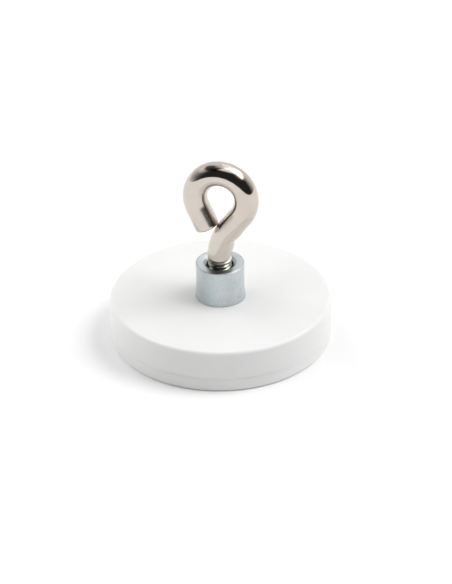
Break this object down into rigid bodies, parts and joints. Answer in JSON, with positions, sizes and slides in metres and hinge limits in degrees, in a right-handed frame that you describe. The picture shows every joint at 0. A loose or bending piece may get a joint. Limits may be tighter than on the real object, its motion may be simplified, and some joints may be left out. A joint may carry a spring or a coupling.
{
  "type": "coated holding magnet with screw-in eye",
  "caption": "Round plastic-jacketed holding magnet with a threaded steel boss and a screw-in wire eye for a line.",
  "frame": {"origin": "middle of the flat contact face, under the axis of the boss", "axes": "+Z along the axis of the boss, away from the contact face; the eye's loop stands in the XZ plane at rest"},
  "size_m": [0.072, 0.072, 0.0634],
  "materials": {
    "white_plastic": "satin moulded",
    "plain_steel": "plain turned",
    "carrier_plastic": "moulded",
    "magnet_nickel": "nickel plated",
    "zinc_plated_steel": "satin blue-white zinc plate",
    "polished_nickel": "bright nickel plate",
    "lock_nylon": "plain",
    "seal_rubber": "plain"
  },
  "bodies": {
    "magnet_body": {"top_cover": "white_plastic", "base_cap": "white_plastic", "backing_plate": "plain_steel", "magnet_carrier": "carrier_plastic", "magnet_outer_01": "magnet_nickel", "magnet_outer_02": "magnet_nickel", "magnet_outer_03": "magnet_nickel", "magnet_outer_04": "magnet_nickel", "magnet_outer_05": "magnet_nickel", "magnet_outer_06": "magnet_nickel", "magnet_outer_07": "magnet_nickel", "magnet_outer_08": "magnet_nickel", "magnet_outer_09": "magnet_nickel", "magnet_outer_10": "magnet_nickel", "magnet_outer_11": "magnet_nickel", "magnet_outer_12": "magnet_nickel", "magnet_inner_01": "magnet_nickel", "magnet_inner_02": "magnet_nickel", "magnet_inner_03": "magnet_nickel", "magnet_inner_04": "magnet_nickel", "magnet_inner_05": "magnet_nickel", "magnet_inner_06": "magnet_nickel", "threaded_boss": "zinc_plated_steel", "perimeter_seal": "seal_rubber", "boss_seal": "seal_rubber"},
    "thread_lead": {"thread_lock_ring": "lock_nylon"},
    "eye": {"eye_bolt": "polished_nickel"}
  },
  "joints": [
    {"name": "thread_lead", "type": "slide", "parent": "magnet_body", "child": "thread_lead", "axis": [0, 0, 1], "range_m": [0, 0.01251]},
    {"name": "eye_turn", "type": "hinge", "parent": "thread_lead", "child": "eye", "pos_m": [0, 0, 0.0267], "axis": [0, 0, 1], "range_deg": [0, 3600]}
  ],
  "couplings": [
    {"joint": "thread_lead", "follows": "eye_turn", "m_per_rad": 0.00019894}
  ]
}
